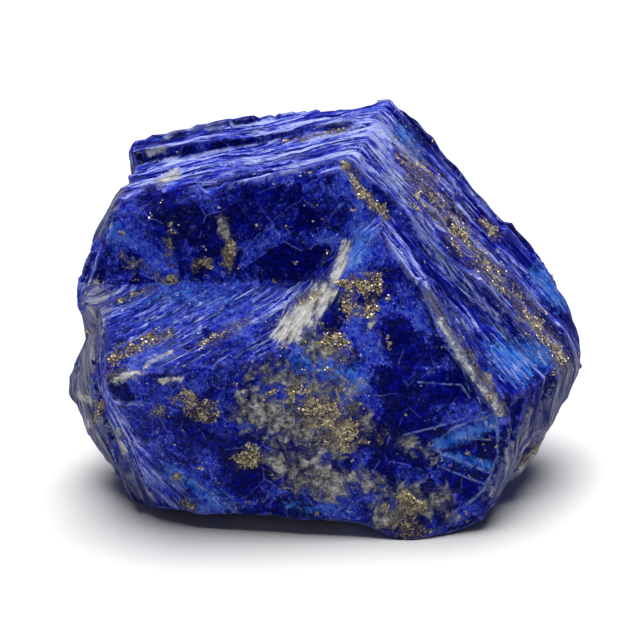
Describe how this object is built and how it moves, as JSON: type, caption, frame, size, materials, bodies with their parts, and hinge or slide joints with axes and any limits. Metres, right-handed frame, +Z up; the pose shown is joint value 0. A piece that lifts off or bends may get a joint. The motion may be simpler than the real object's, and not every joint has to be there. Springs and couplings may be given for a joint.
{
  "type": "rough lapis lazuli",
  "caption": "Rough broken lapis lazuli stone with flat cleavage faces, long stepped ledges and a notched front, resting on a small flat spot.",
  "frame": {"origin": "middle of the stone's bounding box in plan, at the height of the flat spot it rests on", "axes": "+X to the right along the stone's long side, +Y towards the back, +Z up; the notched broken face is the front, at -Y"},
  "size_m": [0.0812, 0.051, 0.0582],
  "materials": {
    "lapis": "rough broken, satin to waxy"
  },
  "bodies": {
    "root": {"lapis_lazuli": "lapis"}
  },
  "joints": []
}
